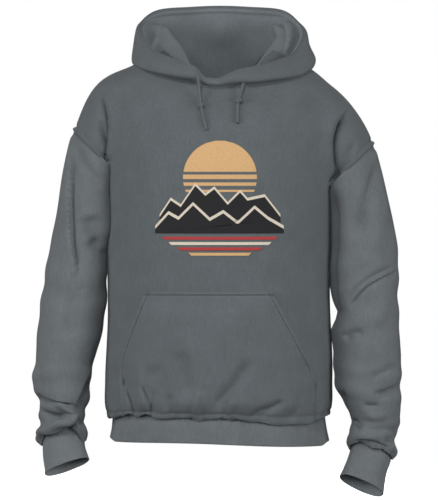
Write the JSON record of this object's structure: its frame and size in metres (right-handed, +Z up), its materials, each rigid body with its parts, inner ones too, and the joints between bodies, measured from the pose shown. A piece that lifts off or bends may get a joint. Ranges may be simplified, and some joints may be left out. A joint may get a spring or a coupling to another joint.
{
  "type": "hooded sweatshirt",
  "caption": "Pullover hooded sweatshirt in charcoal fleece: hood down and open, hanging sleeves, pouch pocket, rib cuffs and waistband.",
  "frame": {"origin": "middle of the neck opening, level with the points where the shoulders meet the neck", "axes": "+Z up along the body, the chest faces -Y, +X towards the wearer's left sleeve"},
  "size_m": [0.6678, 0.3396, 0.8949],
  "materials": {
    "body_fleece": "matte brushed charcoal fleece, with a printed panel on the chest",
    "sleeve_fleece": "matte brushed charcoal fleece",
    "pocket_fleece": "matte brushed charcoal fleece",
    "hood_fleece": "matte brushed charcoal fleece",
    "hood_lining": "matte smooth charcoal jersey",
    "rib_knit": "matte ribbed charcoal knit",
    "drawcord": "matte woven charcoal cord"
  },
  "bodies": {
    "root": {"front_panel": "body_fleece", "back_panel": "body_fleece", "sleeve_left": "sleeve_fleece", "sleeve_right": "sleeve_fleece", "cuff_left": "rib_knit", "cuff_right": "rib_knit", "waistband": "rib_knit", "pouch_pocket": "pocket_fleece", "hood_outer_left": "hood_fleece", "hood_outer_right": "hood_fleece", "hood_lining_left": "hood_lining", "hood_lining_right": "hood_lining", "drawcord_left": "drawcord", "drawcord_right": "drawcord", "cord_knot_left": "drawcord", "cord_knot_right": "drawcord"}
  },
  "joints": []
}
